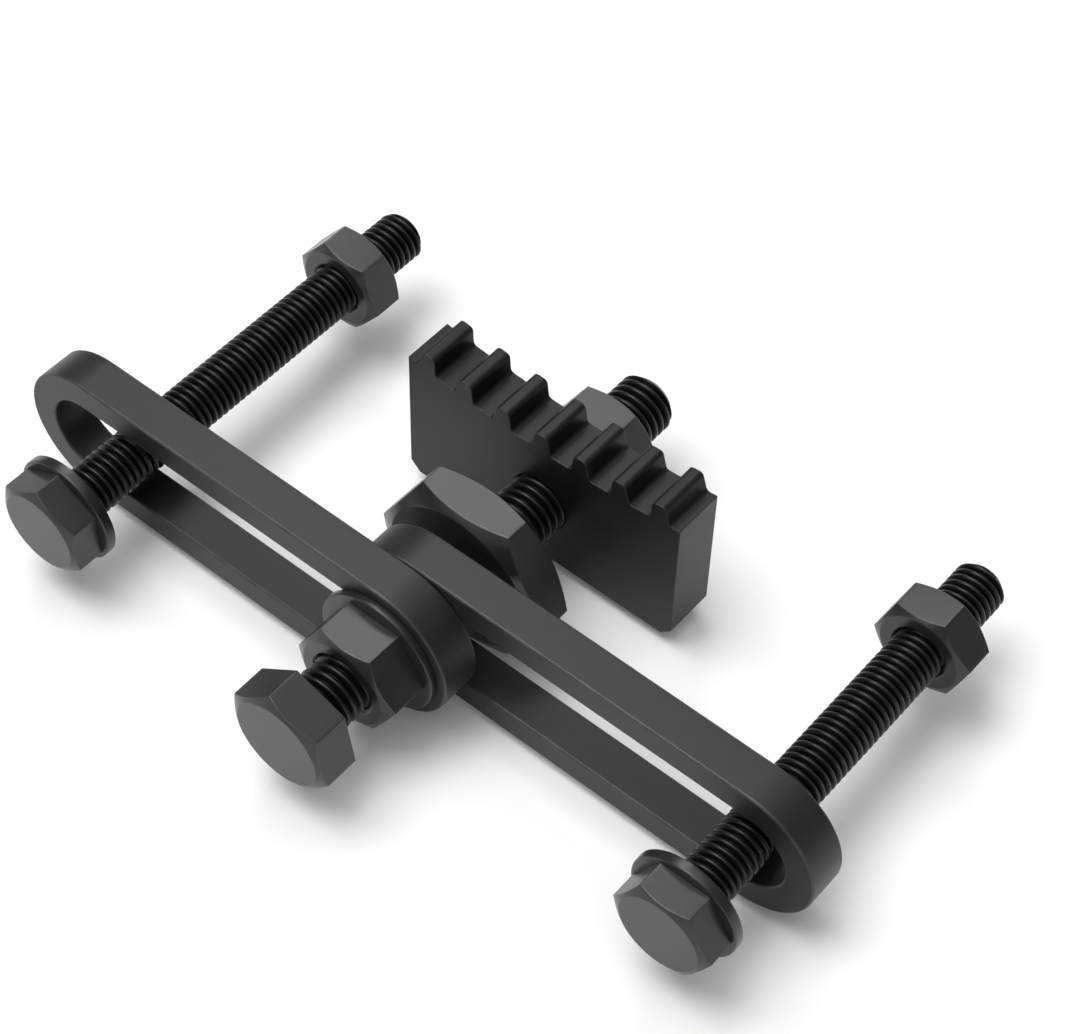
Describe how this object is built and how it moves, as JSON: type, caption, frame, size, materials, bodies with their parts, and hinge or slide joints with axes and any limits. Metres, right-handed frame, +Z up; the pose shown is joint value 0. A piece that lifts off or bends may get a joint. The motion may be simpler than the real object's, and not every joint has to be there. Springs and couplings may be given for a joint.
{
  "type": "flywheel locking tool",
  "caption": "Two slotted arms on a centre bolt with a toothed plate that locks a flywheel's ring gear; outer bolts hold the arms to the engine.",
  "frame": {"origin": "under the middle of the tool's box, on the surface that the large nut's lower flat rests on", "axes": "+X along the arms towards the right arm's end, +Y along the bolts from their heads to their tips, +Z up, across the arms"},
  "size_m": [0.1686, 0.104, 0.0361],
  "materials": {
    "arm_steel": "black oxide over stamped bar, satin, lighter along its broken edges",
    "fastener_steel": "black oxide, satin, slightly oiled, with rolled threads",
    "plate_steel": "black oxide over milled steel, satin"
  },
  "bodies": {
    "left_arm": {"left_arm": "arm_steel"},
    "right_arm": {"right_arm": "arm_steel"},
    "centre_bolt": {"centre_bolt": "fastener_steel"},
    "front_nut": {"front_nut": "fastener_steel"},
    "front_washer": {"front_washer": "fastener_steel"},
    "clamp_nut": {"clamp_nut": "fastener_steel"},
    "toothed_plate": {"toothed_plate": "plate_steel"},
    "back_nut": {"back_nut": "fastener_steel"},
    "left_bolt": {"left_bolt": "fastener_steel"},
    "left_washer": {"left_washer": "fastener_steel"},
    "left_nut": {"left_nut": "fastener_steel"},
    "right_bolt": {"right_bolt": "fastener_steel"},
    "right_washer": {"right_washer": "fastener_steel"},
    "right_nut": {"right_nut": "fastener_steel"}
  },
  "joints": [
    {"name": "left_slot_slide", "type": "slide", "parent": "left_arm", "child": "front_washer", "axis": [1, 0, 0], "range_m": [-0.007, 0.0023]},
    {"name": "arm_pivot", "type": "hinge", "parent": "front_washer", "child": "clamp_nut", "pos_m": [0, 0, 0.0165], "axis": [0, 1, 0], "range_deg": [-140, 140]},
    {"name": "right_slot_slide", "type": "slide", "parent": "clamp_nut", "child": "right_arm", "axis": [1, 0, 0], "range_m": [-0.007, 0.0023]},
    {"name": "centre_bolt_turn", "type": "hinge", "parent": "front_washer", "child": "centre_bolt", "pos_m": [0, 0, 0.0165], "axis": [0, 1, 0], "range_deg": [-1851.5, 2571.5]},
    {"name": "front_nut_travel", "type": "slide", "parent": "centre_bolt", "child": "front_nut", "axis": [0, 1, 0], "range_m": [-0.0075, 0]},
    {"name": "plate_travel", "type": "slide", "parent": "front_washer", "child": "back_nut", "axis": [0, 1, 0], "range_m": [-0.0125, 0.009]},
    {"name": "plate_turn", "type": "hinge", "parent": "back_nut", "child": "toothed_plate", "pos_m": [0, 0, 0.0165], "axis": [0, 1, 0], "continuous": true},
    {"name": "left_bolt_slide", "type": "slide", "parent": "left_arm", "child": "left_washer", "axis": [1, 0, 0], "range_m": [-0.011, 0.0063]},
    {"name": "left_bolt_turn", "type": "hinge", "parent": "left_washer", "child": "left_bolt", "pos_m": [-0.0617, 0, 0.0165], "axis": [0, 1, 0], "range_deg": [-2592.1, 11448.1]},
    {"name": "left_nut_travel", "type": "slide", "parent": "left_washer", "child": "left_nut", "axis": [0, 1, 0], "range_m": [-0.0477, 0.0108]},
    {"name": "right_bolt_slide", "type": "slide", "parent": "right_arm", "child": "right_washer", "axis": [1, 0, 0], "range_m": [-0.008, 0.0035]},
    {"name": "right_bolt_turn", "type": "hinge", "parent": "right_washer", "child": "right_bolt", "pos_m": [0.0697, 0, 0.0165], "axis": [0, 1, 0], "range_deg": [-2640.1, 9960.1]},
    {"name": "right_nut_travel", "type": "slide", "parent": "right_washer", "child": "right_nut", "axis": [0, 1, 0], "range_m": [-0.0415, 0.011]}
  ],
  "couplings": [
    {"joint": "left_bolt_turn", "follows": "left_nut_travel", "rad_per_m": -4188.8},
    {"joint": "right_bolt_turn", "follows": "right_nut_travel", "rad_per_m": -4188.8},
    {"joint": "centre_bolt_turn", "follows": "plate_travel", "rad_per_m": -3590.4}
  ]
}
